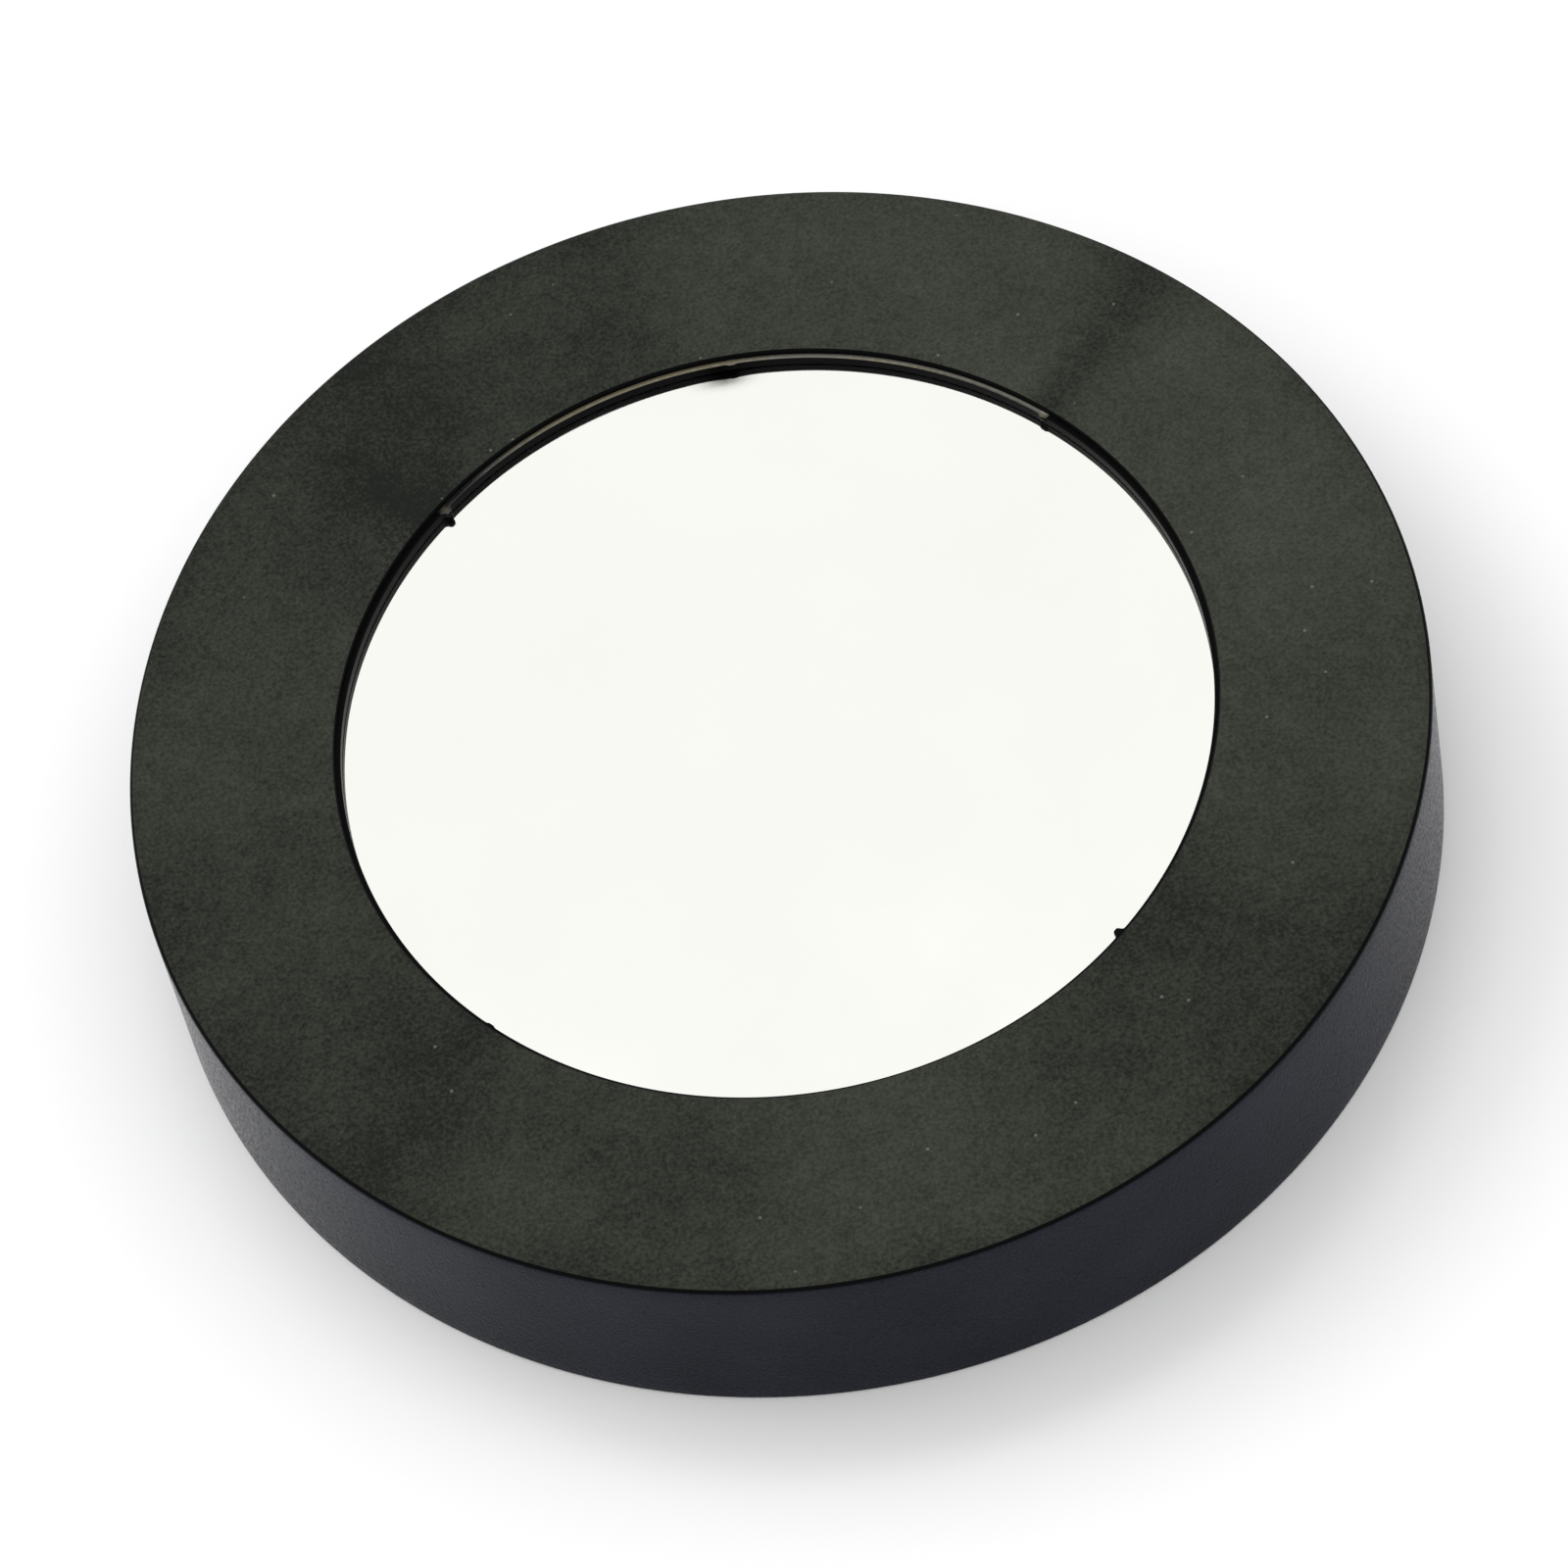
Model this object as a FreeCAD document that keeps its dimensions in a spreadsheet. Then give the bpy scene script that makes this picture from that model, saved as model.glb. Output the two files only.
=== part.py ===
import FreeCAD, Part
import Sketcher
import os

# Full-aperture solar filter cap for a small refracting telescope.
#
# A moulded ABS cap pushes over the telescope's dew shield. Reflective solar film covers the
# hole in its front flange. The film is stuck between two rings of double-sided tape, in a
# rebate behind the flange, and a backing ring with six small screws clamps it there. A strip
# of felt round the inside of the skirt grips the dew shield.
#
# Units are millimetres. The origin is the centre of the rim that the cap stands on, and +Z
# runs along the optical axis, out through the film.

SIZES = [
    # the cap
    ("cap_height", 15.2, "rim to front face"),
    ("front_radius", 47.0, "outer radius at the front face"),
    ("rim_radius", 47.4, "outer radius at the rim, larger by the moulding draft"),
    ("skirt_wall", 2.0, "wall of the skirt"),
    ("flange_wall", 2.2, "wall of the front flange"),
    ("front_round", 0.45, "round on the front outer edge"),
    ("rim_round", 0.3, "round on the rim's outer edge"),
    ("rim_bevel", 0.5, "lead-in bevel inside the rim"),
    # the aperture, its step and the gate stubs left in it
    ("aperture_radius", 31.95, "hole in the front face"),
    ("aperture_round", 0.15, "round on the hole's front edge"),
    ("step_depth", 0.55, "front face to the step in the hole"),
    ("step_radius", 31.58, "hole below the step"),
    ("gate_angle_1", 40.0, "azimuth of the first gate stub"),
    ("gate_angle_2", 130.0, "azimuth of the second"),
    ("gate_angle_3", 220.0, "azimuth of the third"),
    ("gate_angle_4", 309.2, "azimuth of the fourth"),
    ("gate_width", 0.7, "width of a gate stub at its root, halved at its tip"),
    ("gate_height", 0.5, "height of a gate stub, down from the step"),
    ("gate_stub_1", 0.12, "how far the first stub stands into the hole"),
    ("gate_stub_2", 0.48, "how far the second does"),
    ("gate_stub_3", 0.1, "how far the third does"),
    ("gate_stub_4", 0.45, "how far the fourth does"),
    # the rebate behind the flange, with the film and its tape
    ("seat_radius", 36.5, "rebate for the film"),
    ("seat_web", 1.3, "front face to the floor of the rebate"),
    ("tape_inner", 32.2, "inner radius of the tape rings"),
    ("tape_outer", 36.0, "outer radius of the tape rings"),
    ("tape_thick", 0.1, "thickness of each tape ring"),
    ("film_radius", 36.2, "radius of the film disc"),
    ("film_thick", 0.05, "thickness of the film solid"),
    # the backing ring, its bosses and its screws
    ("backing_bore", 32.4, "inner radius of the backing ring"),
    ("backing_spigot", 36.3, "part of the ring that enters the rebate"),
    ("backing_outer", 41.5, "outer radius of the backing ring"),
    ("backing_wall", 1.8, "wall of the backing ring below the flange"),
    ("backing_bevel", 1.0, "bevel round the rear of its bore"),
    ("groove_inset", 1.8, "from its bore to the groove in its rear face"),
    ("groove_width", 1.2, "width of that groove"),
    ("groove_depth", 0.4, "depth of that groove"),
    ("notch_count", 2, "pry notches, evenly spaced"),
    ("notch_width", 5.0, "pry notch in the ring's edge"),
    ("notch_depth", 1.0, "radial depth of the notch"),
    ("screw_circle", 39.1, "radius of the circle of screws"),
    ("screw_count", 6, "screws, each in its boss"),
    ("boss_radius", 1.75, "boss that a screw turns into"),
    ("boss_length", 1.6, "boss below the flange"),
    ("boss_hole", 1.9, "radius of the holes for the bosses"),
    ("pilot_depth", 2.9, "screw hole in each boss"),
    ("thread_radius", 1.0, "screw thread, outside"),
    ("shank_length", 3.0, "screw below its head"),
    ("washer_radius", 2.4, "washer face formed on the head"),
    ("washer_thick", 0.4, "thickness of the washer face"),
    ("head_radius", 1.8, "domed head"),
    ("head_height", 1.4, "washer face included"),
    ("crown_radius", 0.99, "flat middle of the dome"),
    ("crown_drop", 0.42, "height of the dome"),
    ("tip_radius", 0.5, "flat end of the thread, and the length of its taper"),
    ("recess_width", 0.5, "arms of the cross recess"),
    ("recess_span", 2.0, "cross recess from end to end"),
    ("recess_depth", 0.8, "depth of the cross recess"),
    # what the dew shield meets
    ("rib_count", 12, "stop ribs in the corner of the skirt"),
    ("rib_inner", 42.2, "radius of the ribs' inner edge"),
    ("rib_width", 1.2, "width of a rib"),
    ("rib_root", 0.4, "how far a rib runs into the skirt at the rim's radius"),
    ("rib_drop", 5.8, "front face to the ribs' lower end"),
    ("felt_bore", 44.0, "radius inside the felt"),
    ("felt_low", 0.8, "height of the felt's lower edge"),
    ("felt_height", 8.0, "width of the felt strip"),
    ("felt_gap", 2.0, "angle left open where the strip's ends meet"),
    ("felt_seam", 205.0, "azimuth of that seam"),
]

# Heights and radii that follow from the sizes, as expressions on the sheet.
STEP_Z = "Sizes.cap_height - Sizes.step_depth"
SEAT_Z = "Sizes.cap_height - Sizes.seat_web"
FLANGE_Z = "Sizes.cap_height - Sizes.flange_wall"
FILM_TOP_Z = SEAT_Z + " - Sizes.tape_thick"
FILM_BASE_Z = FILM_TOP_Z + " - Sizes.film_thick"
SPIGOT_Z = FILM_BASE_Z + " - Sizes.tape_thick"
BACKING_Z = FLANGE_Z + " - Sizes.backing_wall"
BOSS_Z = FLANGE_Z + " - Sizes.boss_length"
RIB_Z = "Sizes.cap_height - Sizes.rib_drop"
DRAFT = "(Sizes.rim_radius - Sizes.front_radius) / Sizes.cap_height"
EMBED = 0.3  # how far an added feature runs into the wall it grows from
TOLERANCE = 1e-3  # how closely an edge has to match the radius and height it is found by


def new_document():
    doc = FreeCAD.newDocument("solar_filter_cap")
    sheet = doc.addObject("Spreadsheet::Sheet", "Sizes")
    for row, (alias, value, note) in enumerate(SIZES, start=1):
        sheet.set(f"A{row}", alias)
        sheet.set(f"B{row}", str(value))
        sheet.set(f"C{row}", note)
        sheet.setAlias(f"B{row}", alias)
    doc.recompute()
    return doc


def size(doc, alias):
    return float(getattr(doc.Sizes, alias))


def new_body(doc, label):
    body = doc.addObject("PartDesign::Body", label)
    body.Label = label
    return body


def new_sketch(body, role, height=None, turn=None):
    """A sketch on one of the body's own origin planes, raised and turned by expressions."""
    plane = next(f for f in body.Origin.OriginFeatures if f.Role == role)
    sketch = body.newObject("Sketcher::SketchObject", body.Label + "_sketch")
    sketch.AttachmentSupport = [(plane, "")]
    sketch.MapMode = "FlatFace"
    if height:
        sketch.setExpression("AttachmentOffset.Base.z", height)
    if turn:
        sketch.AttachmentOffset = FreeCAD.Placement(
            sketch.AttachmentOffset.Base, FreeCAD.Rotation(FreeCAD.Vector(0, 0, 1), 1)
        )
        sketch.setExpression("AttachmentOffset.Rotation.Angle", turn)
    return sketch


def value_of(sketch, expression):
    result = sketch.evalExpression(expression)
    return float(getattr(result, "Value", result))


def hold(sketch, kind, geometry, point, expression):
    """Ties one coordinate of a point to an expression, or to the axis where it is zero."""
    value = value_of(sketch, expression)
    if abs(value) < 1e-9:
        axis = -2 if kind == "DistanceX" else -1
        sketch.addConstraint(Sketcher.Constraint("PointOnObject", geometry, point, axis))
        return
    number = sketch.addConstraint(
        Sketcher.Constraint(kind, -1, 1, geometry, point, value)
    )
    name = f"{kind[-1].lower()}{geometry}"
    sketch.renameConstraint(number, name)
    sketch.setExpression(f"Constraints.{name}", expression)


def add_outline(sketch, corners):
    """A closed outline of straight lines through corners given as pairs of expressions."""
    points = [
        FreeCAD.Vector(value_of(sketch, x), value_of(sketch, y), 0) for x, y in corners
    ]
    first = sketch.GeometryCount
    count = len(corners)
    for index in range(count):
        edge = Part.LineSegment(points[index], points[(index + 1) % count])
        sketch.addGeometry(edge, False)
    for index in range(count):
        after = first + (index + 1) % count
        sketch.addConstraint(
            Sketcher.Constraint("Coincident", first + index, 2, after, 1)
        )
    for index, (x, y) in enumerate(corners):
        hold(sketch, "DistanceX", first + index, 1, x)
        hold(sketch, "DistanceY", first + index, 1, y)


def add_circle(sketch, x, radius):
    """A circle with its centre on the sketch's X axis."""
    centre = FreeCAD.Vector(value_of(sketch, x), 0, 0)
    circle = Part.Circle(centre, FreeCAD.Vector(0, 0, 1), value_of(sketch, radius))
    index = sketch.addGeometry(circle, False)
    hold(sketch, "DistanceX", index, 3, x)
    hold(sketch, "DistanceY", index, 3, "0")
    number = sketch.addConstraint(
        Sketcher.Constraint("Radius", index, value_of(sketch, radius))
    )
    sketch.renameConstraint(number, f"radius{index}")
    sketch.setExpression(f"Constraints.radius{index}", radius)


def revolve(body, corners, angle=None):
    """Turns an outline in the XZ plane about the body's Z axis."""
    sketch = new_sketch(body, "XZ_Plane")
    add_outline(sketch, corners)
    turned = body.newObject("PartDesign::Revolution", body.Label + "_turned")
    turned.Profile = sketch
    turned.ReferenceAxis = (sketch, ["V_Axis"])
    turned.Angle = 360
    if angle:
        turned.setExpression("Angle", angle)
    body.Document.recompute()
    return turned


def raise_pad(body, sketch, length):
    pad = body.newObject("PartDesign::Pad", body.Label + "_pad")
    pad.Profile = sketch
    pad.setExpression("Length", length)
    body.Document.recompute()
    return pad


def cut_pocket(body, sketch, depth):
    """A pocket that runs up along +Z from its sketch, checked to have cut something."""
    before = body.Shape.Volume
    pocket = body.newObject("PartDesign::Pocket", body.Label + "_pocket")
    pocket.Profile = sketch
    pocket.Reversed = True
    pocket.setExpression("Length", depth)
    body.Document.recompute()
    if not body.Shape.Volume < before:
        raise RuntimeError(f"a pocket in {body.Label} cut nothing")
    return pocket


def repeat_round(body, features, count):
    """Repeats features evenly round the Z axis."""
    axis = next(f for f in body.Origin.OriginFeatures if f.Role == "Z_Axis")
    pattern = body.newObject("PartDesign::PolarPattern", body.Label + "_pattern")
    pattern.Originals = features
    pattern.Axis = (axis, [""])
    pattern.Angle = 360
    pattern.setExpression("Occurrences", count)
    body.Tip = pattern
    body.Document.recompute()
    return pattern


def round_edge_names(feature, radius, height):
    """Names of the feature's full circular edges of that radius at that height."""
    names = []
    for number, edge in enumerate(feature.Shape.Edges, start=1):
        curve = edge.Curve
        if not isinstance(curve, Part.Circle):
            continue
        same_radius = abs(curve.Radius - radius) < TOLERANCE
        same_height = abs(curve.Center.z - height) < TOLERANCE
        if same_radius and same_height:
            names.append(f"Edge{number}")
    if not names:
        raise RuntimeError(f"no edge of radius {radius} at height {height}")
    return names


def soften(body, kind, radius, height, amount):
    """A fillet or chamfer on the circular edge at a radius and height, both expressions."""
    base = body.Tip
    names = round_edge_names(
        base, value_of(base, radius), value_of(base, height)
    )
    feature = body.newObject("PartDesign::" + kind, body.Label + "_" + kind.lower())
    feature.Base = (base, names)
    feature.setExpression("Radius" if kind == "Fillet" else "Size", amount)
    body.Document.recompute()
    return feature


def place_round(body, radius, angle):
    """Puts a body, built on its own axis, at an angle round the cap."""
    body.setExpression("Placement.Base.x", f"{radius} * cos({angle} * 1deg)")
    body.setExpression("Placement.Base.y", f"{radius} * sin({angle} * 1deg)")
    body.Placement.Rotation = FreeCAD.Rotation(FreeCAD.Vector(0, 0, 1), 1)
    body.setExpression("Placement.Rotation.Angle", angle)


def make_ring(doc, label, inner, outer, low, high):
    """A plain flat ring."""
    body = new_body(doc, label)
    revolve(body, [(inner, low), (outer, low), (outer, high), (inner, high)])
    return body


def make_cap_shell(doc):
    """Skirt and flange in one turned outline, then bosses, stop ribs and gate stubs."""
    body = new_body(doc, "cap_shell")
    corner_radius = f"Sizes.rim_radius - Sizes.skirt_wall - ({DRAFT}) * ({FLANGE_Z})"
    inner_rim = "Sizes.rim_radius - Sizes.skirt_wall"
    revolve(
        body,
        [
            (inner_rim, "0"),
            ("Sizes.rim_radius", "0"),
            ("Sizes.front_radius", "Sizes.cap_height"),
            ("Sizes.aperture_radius", "Sizes.cap_height"),
            ("Sizes.aperture_radius", STEP_Z),
            ("Sizes.step_radius", STEP_Z),
            ("Sizes.step_radius", SEAT_Z),
            ("Sizes.seat_radius", SEAT_Z),
            ("Sizes.seat_radius", FLANGE_Z),
            (corner_radius, FLANGE_Z),
        ],
    )
    top = "Sizes.cap_height"
    soften(body, "Fillet", "Sizes.front_radius", top, "Sizes.front_round")
    soften(body, "Fillet", "Sizes.aperture_radius", top, "Sizes.aperture_round")
    soften(body, "Fillet", "Sizes.rim_radius", "0", "Sizes.rim_round")
    soften(body, "Chamfer", inner_rim, "0", "Sizes.rim_bevel")
    add_bosses(body)
    add_stop_ribs(body)
    add_gate_stubs(body)
    return body


def add_bosses(body):
    boss_sketch = new_sketch(body, "XY_Plane", BOSS_Z)
    add_circle(boss_sketch, "Sizes.screw_circle", "Sizes.boss_radius")
    boss = raise_pad(body, boss_sketch, f"Sizes.boss_length + {EMBED}")
    pilot_sketch = new_sketch(body, "XY_Plane", BOSS_Z)
    add_circle(pilot_sketch, "Sizes.screw_circle", "Sizes.thread_radius")
    pilot = cut_pocket(body, pilot_sketch, "Sizes.pilot_depth")
    repeat_round(body, [boss, pilot], "Sizes.screw_count")


def add_stop_ribs(body):
    """Ribs between skirt and flange. The dew shield's end comes to rest against them."""
    sketch = new_sketch(body, "XY_Plane", RIB_Z, "180 / Sizes.rib_count")
    near = "Sizes.rib_inner"
    far = "Sizes.rim_radius - Sizes.skirt_wall + Sizes.rib_root"
    half = "Sizes.rib_width / 2"
    add_outline(
        sketch,
        [(near, "-" + half), (far, "-" + half), (far, half), (near, half)],
    )
    rib = raise_pad(body, sketch, f"Sizes.rib_drop - Sizes.flange_wall + {EMBED}")
    repeat_round(body, [rib], "Sizes.rib_count")


def add_gate_stubs(body):
    """What is left of the four gates that fed the mould, each trimmed to its own length."""
    for number in (1, 2, 3, 4):
        turn = f"Sizes.gate_angle_{number}"
        height = STEP_Z + " - Sizes.gate_height"
        sketch = new_sketch(body, "XY_Plane", height, turn)
        tip = f"Sizes.step_radius - Sizes.gate_stub_{number}"
        root = f"Sizes.step_radius + {EMBED}"
        wide = "Sizes.gate_width / 2"
        narrow = "Sizes.gate_width / 4"
        add_outline(
            sketch,
            [(tip, "-" + narrow), (root, "-" + wide), (root, wide), (tip, narrow)],
        )
        raise_pad(body, sketch, "Sizes.gate_height")


def make_film(doc):
    film = doc.addObject("Part::Cylinder", "solar_film")
    film.Label = "solar_film"
    film.setExpression("Radius", "Sizes.film_radius")
    film.setExpression("Height", "Sizes.film_thick")
    film.setExpression("Placement.Base.z", FILM_BASE_Z)
    return film


def make_backing_ring(doc):
    """Stepped ring: a spigot presses the film into its rebate, and a flange takes the screws."""
    body = new_body(doc, "backing_ring")
    groove_near = "Sizes.backing_bore + Sizes.groove_inset"
    groove_far = f"{groove_near} + Sizes.groove_width"
    revolve(
        body,
        [
            ("Sizes.backing_bore", SPIGOT_Z),
            ("Sizes.backing_bore", f"{BACKING_Z} + Sizes.backing_bevel"),
            ("Sizes.backing_bore + Sizes.backing_bevel", BACKING_Z),
            (groove_near, BACKING_Z),
            (groove_near, f"{BACKING_Z} + Sizes.groove_depth"),
            (groove_far, f"{BACKING_Z} + Sizes.groove_depth"),
            (groove_far, BACKING_Z),
            ("Sizes.backing_outer", BACKING_Z),
            ("Sizes.backing_outer", FLANGE_Z),
            ("Sizes.backing_spigot", FLANGE_Z),
            ("Sizes.backing_spigot", SPIGOT_Z),
        ],
    )
    hole_sketch = new_sketch(body, "XY_Plane", BACKING_Z)
    add_circle(hole_sketch, "Sizes.screw_circle", "Sizes.boss_hole")
    hole = cut_pocket(body, hole_sketch, "Sizes.backing_wall")
    repeat_round(body, [hole], "Sizes.screw_count")
    notch_sketch = new_sketch(body, "XY_Plane", BACKING_Z, "180 / Sizes.screw_count")
    near = "Sizes.backing_outer - Sizes.notch_depth"
    far = f"Sizes.backing_outer + {EMBED}"
    half = "Sizes.notch_width / 2"
    add_outline(
        notch_sketch,
        [(near, "-" + half), (far, "-" + half), (far, half), (near, half)],
    )
    notch = cut_pocket(body, notch_sketch, "Sizes.backing_wall")
    repeat_round(body, [notch], "Sizes.notch_count")
    return body


def make_screw(doc, number):
    """Pan-head screw with a washer face, head down, its thread going up into its boss."""
    body = new_body(doc, f"clamp_screw_{number}")
    head_z = f"{BACKING_Z} - Sizes.head_height"
    washer_z = f"{BACKING_Z} - Sizes.washer_thick"
    tip_z = f"{BACKING_Z} + Sizes.shank_length"
    shoulder_z = f"{head_z} + Sizes.crown_drop"
    revolve(
        body,
        [
            ("0", head_z),
            ("Sizes.crown_radius", head_z),
            ("Sizes.head_radius", shoulder_z),
            ("Sizes.head_radius", washer_z),
            ("Sizes.washer_radius", washer_z),
            ("Sizes.washer_radius", BACKING_Z),
            ("Sizes.thread_radius", BACKING_Z),
            ("Sizes.thread_radius", f"{tip_z} - Sizes.tip_radius"),
            ("Sizes.tip_radius", tip_z),
            ("0", tip_z),
        ],
    )
    arm = "Sizes.recess_span / 2"
    half = "Sizes.recess_width / 2"
    for along, across in ((arm, half), (half, arm)):
        sketch = new_sketch(body, "XY_Plane", head_z)
        add_outline(
            sketch,
            [
                ("-" + along, "-" + across),
                (along, "-" + across),
                (along, across),
                ("-" + along, across),
            ],
        )
        cut_pocket(body, sketch, "Sizes.recess_depth")
    place_round(body, "Sizes.screw_circle", f"{number - 1} * 360 / Sizes.screw_count")
    return body


def make_felt(doc):
    """Self-adhesive felt: its back follows the tapered skirt, its face is a plain bore."""
    body = new_body(doc, "grip_felt")
    high = "Sizes.felt_low + Sizes.felt_height"
    inner_rim = "Sizes.rim_radius - Sizes.skirt_wall"
    revolve(
        body,
        [
            ("Sizes.felt_bore", "Sizes.felt_low"),
            (f"{inner_rim} - ({DRAFT}) * Sizes.felt_low", "Sizes.felt_low"),
            (f"{inner_rim} - ({DRAFT}) * ({high})", high),
            ("Sizes.felt_bore", high),
        ],
        "360 - Sizes.felt_gap",
    )
    body.Placement.Rotation = FreeCAD.Rotation(FreeCAD.Vector(0, 0, 1), 1)
    body.setExpression(
        "Placement.Rotation.Angle", "Sizes.felt_seam + Sizes.felt_gap / 2"
    )
    return body


def build(doc):
    parts = [
        make_cap_shell(doc),
        make_ring(
            doc, "front_tape", "Sizes.tape_inner", "Sizes.tape_outer", FILM_TOP_Z, SEAT_Z
        ),
        make_film(doc),
        make_ring(
            doc, "rear_tape", "Sizes.tape_inner", "Sizes.tape_outer", SPIGOT_Z, FILM_BASE_Z
        ),
        make_backing_ring(doc),
        make_felt(doc),
    ]
    screw_count = int(size(doc, "screw_count"))
    parts += [make_screw(doc, number) for number in range(1, screw_count + 1)]
    doc.recompute()
    return parts


def check(doc, parts):
    for thing in doc.Objects:
        if "Invalid" in thing.State or "Error" in thing.State:
            raise RuntimeError(f"{thing.Label} failed: {thing.State}")
    for part in parts:
        shape = part.Shape
        if shape.isNull() or not shape.isValid() or not shape.Solids:
            raise RuntimeError(f"{part.Label} has no valid solid")
        print(f"{part.Label}: {len(shape.Solids)} solid, {shape.Volume:.2f} mm3")


def write(parts):
    os.makedirs("parts", exist_ok=True)
    for part in parts:
        part.Shape.exportStep(f"parts/{part.Label}.step")


document = new_document()
sub_parts = build(document)
check(document, sub_parts)
write(sub_parts)
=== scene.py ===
import math
import bpy
import numpy as np
from mathutils import Matrix, Vector


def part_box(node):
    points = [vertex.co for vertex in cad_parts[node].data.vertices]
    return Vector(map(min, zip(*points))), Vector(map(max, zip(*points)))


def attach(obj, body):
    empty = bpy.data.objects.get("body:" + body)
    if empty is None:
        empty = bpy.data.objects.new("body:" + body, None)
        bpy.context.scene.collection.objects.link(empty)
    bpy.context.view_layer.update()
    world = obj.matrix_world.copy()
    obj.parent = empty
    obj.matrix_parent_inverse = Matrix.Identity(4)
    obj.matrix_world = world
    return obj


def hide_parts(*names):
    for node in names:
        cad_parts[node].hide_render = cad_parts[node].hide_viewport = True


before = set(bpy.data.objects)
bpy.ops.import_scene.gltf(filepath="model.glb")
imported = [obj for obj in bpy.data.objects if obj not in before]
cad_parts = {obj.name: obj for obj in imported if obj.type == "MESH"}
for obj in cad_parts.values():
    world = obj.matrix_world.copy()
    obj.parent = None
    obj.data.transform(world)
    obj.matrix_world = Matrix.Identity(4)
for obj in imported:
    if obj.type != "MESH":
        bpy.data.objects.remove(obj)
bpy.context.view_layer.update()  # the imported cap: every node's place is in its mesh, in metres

mm = 0.001
hair = 0.01  # a hair's breadth in mm, for comparing places
scene = bpy.context.scene
scene.view_settings.view_transform = "Standard"
scene.view_settings.look = "None"

capLow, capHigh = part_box("cap_shell")
filmLow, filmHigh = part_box("solar_film")
ringLow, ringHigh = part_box("backing_ring")
feltLow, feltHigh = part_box("grip_felt")
frontZ = capHigh.z / mm
print("frame loaded, cap height", round(frontZ, 2), "mm")


# ---- shapes

def gridSurface(name, grid, closeRows=False, capStart=False, capEnd=False):
    # A surface from a grid of points in mm, rows x columns x 3. Columns join up round the piece. Rows join
    # end to start if closeRows, or run to a point at the middle of the first or last row where a cap is
    # wanted. The sum of a . (b x c) / 6 over the faces is the volume: where it is negative, every face is
    # turned over.
    rows, columns = grid.shape[:2]
    points = grid.reshape(-1, 3)
    index = np.arange(rows * columns).reshape(rows, columns)
    upper = np.roll(index, -1, axis=0) if closeRows else index[1:]
    lower = index if closeRows else index[:-1]
    quads = np.stack(
        [lower, np.roll(lower, -1, 1), np.roll(upper, -1, 1), upper], axis=-1
    ).reshape(-1, 4)
    fans = []
    for wanted, row, turn in ((capStart, 0, -1), (capEnd, rows - 1, 1)):
        if wanted:
            tip = np.full(columns, len(points))
            points = np.vstack([points, grid[row].mean(axis=0)])
            edge = index[row]
            fans.append(np.stack([edge, np.roll(edge, -1), tip], axis=-1)[:, ::turn])
    triangles = np.vstack([quads[:, [0, 1, 2]], quads[:, [0, 2, 3]]] + fans)
    a, b, c = points[triangles[:, 0]], points[triangles[:, 1]], points[triangles[:, 2]]
    if np.einsum("ij,ij->i", a, np.cross(b, c)).sum() < 0:
        quads = quads[:, ::-1]
        fans = [fan[:, ::-1] for fan in fans]
    faces = quads.tolist() + [face for fan in fans for face in fan.tolist()]
    mesh = bpy.data.meshes.new(name)
    mesh.from_pydata(points * mm, [], faces)
    mesh.update()
    return mesh


def placePiece(name, mesh, slotName, materials, *nodes, sharp=35):
    # sharp is the angle between faces, in degrees, over which an edge isn't smoothed
    mesh.polygons.foreach_set("use_smooth", np.ones(len(mesh.polygons), bool))
    mesh.set_sharp_from_angle(angle=math.radians(sharp))
    piece = bpy.data.objects.new(name, mesh)
    scene.collection.objects.link(piece)
    if not mesh.materials:
        for material in materials:
            mesh.materials.append(material)
    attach(piece, "root")
    if nodes:
        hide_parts(*nodes)
    return piece


def roundedOutline(corners, step, arcStep=math.pi / 14):
    # A closed outline of corners (radius, height, round). At each corner both runs are cut back by
    # round x tan(turn / 2) and joined by an arc of that round; each run is then split into equal steps.
    count = len(corners)
    points = np.array([corner[:2] for corner in corners], float)
    outline = []
    for k in range(count):
        here, before, after = points[k], points[k - 1], points[(k + 1) % count]
        inward = (here - before) / np.linalg.norm(here - before)
        onward = (after - here) / np.linalg.norm(after - here)
        turn = math.atan2(
            inward[0] * onward[1] - inward[1] * onward[0], inward @ onward
        )
        radius = corners[k][2]
        start = here - inward * radius * math.tan(abs(turn) / 2)
        side = math.copysign(1, turn)
        centre = start + radius * side * np.array([-inward[1], inward[0]])
        steps = max(2, math.ceil(abs(turn) / arcStep))
        angles = np.linspace(0, turn, steps + 1)
        spoke = start - centre
        arc = centre + np.stack(
            [
                spoke[0] * np.cos(angles) - spoke[1] * np.sin(angles),
                spoke[0] * np.sin(angles) + spoke[1] * np.cos(angles),
            ],
            axis=-1,
        )
        outline.append(arc)
    whole = []
    for k in range(count):
        whole.append(outline[k])
        run = outline[(k + 1) % count][0] - outline[k][-1]
        steps = max(1, math.ceil(np.linalg.norm(run) / step))
        whole.append(outline[k][-1] + np.outer(np.arange(1, steps) / steps, run))
    return np.vstack(whole)


def turnedGrid(outline, azimuths):
    # Each outline point (r, z) goes round the Z axis: x = r cos a, y = r sin a, z.
    r, z = outline[:, 0][:, None], outline[:, 1][:, None]
    ones = np.ones_like(azimuths)[None, :]
    return np.stack([r * np.cos(azimuths), r * np.sin(azimuths), z * ones], axis=-1)


def smoothStep(low, high, value):
    t = np.clip((value - low) / (high - low), 0, 1)
    return t * t * (3 - 2 * t)


def angleFrom(azimuth, degrees):
    # signed angle from a direction, between -pi and pi
    return (azimuth - math.radians(degrees) + math.pi) % (2 * math.pi) - math.pi


# ---- materials

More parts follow.
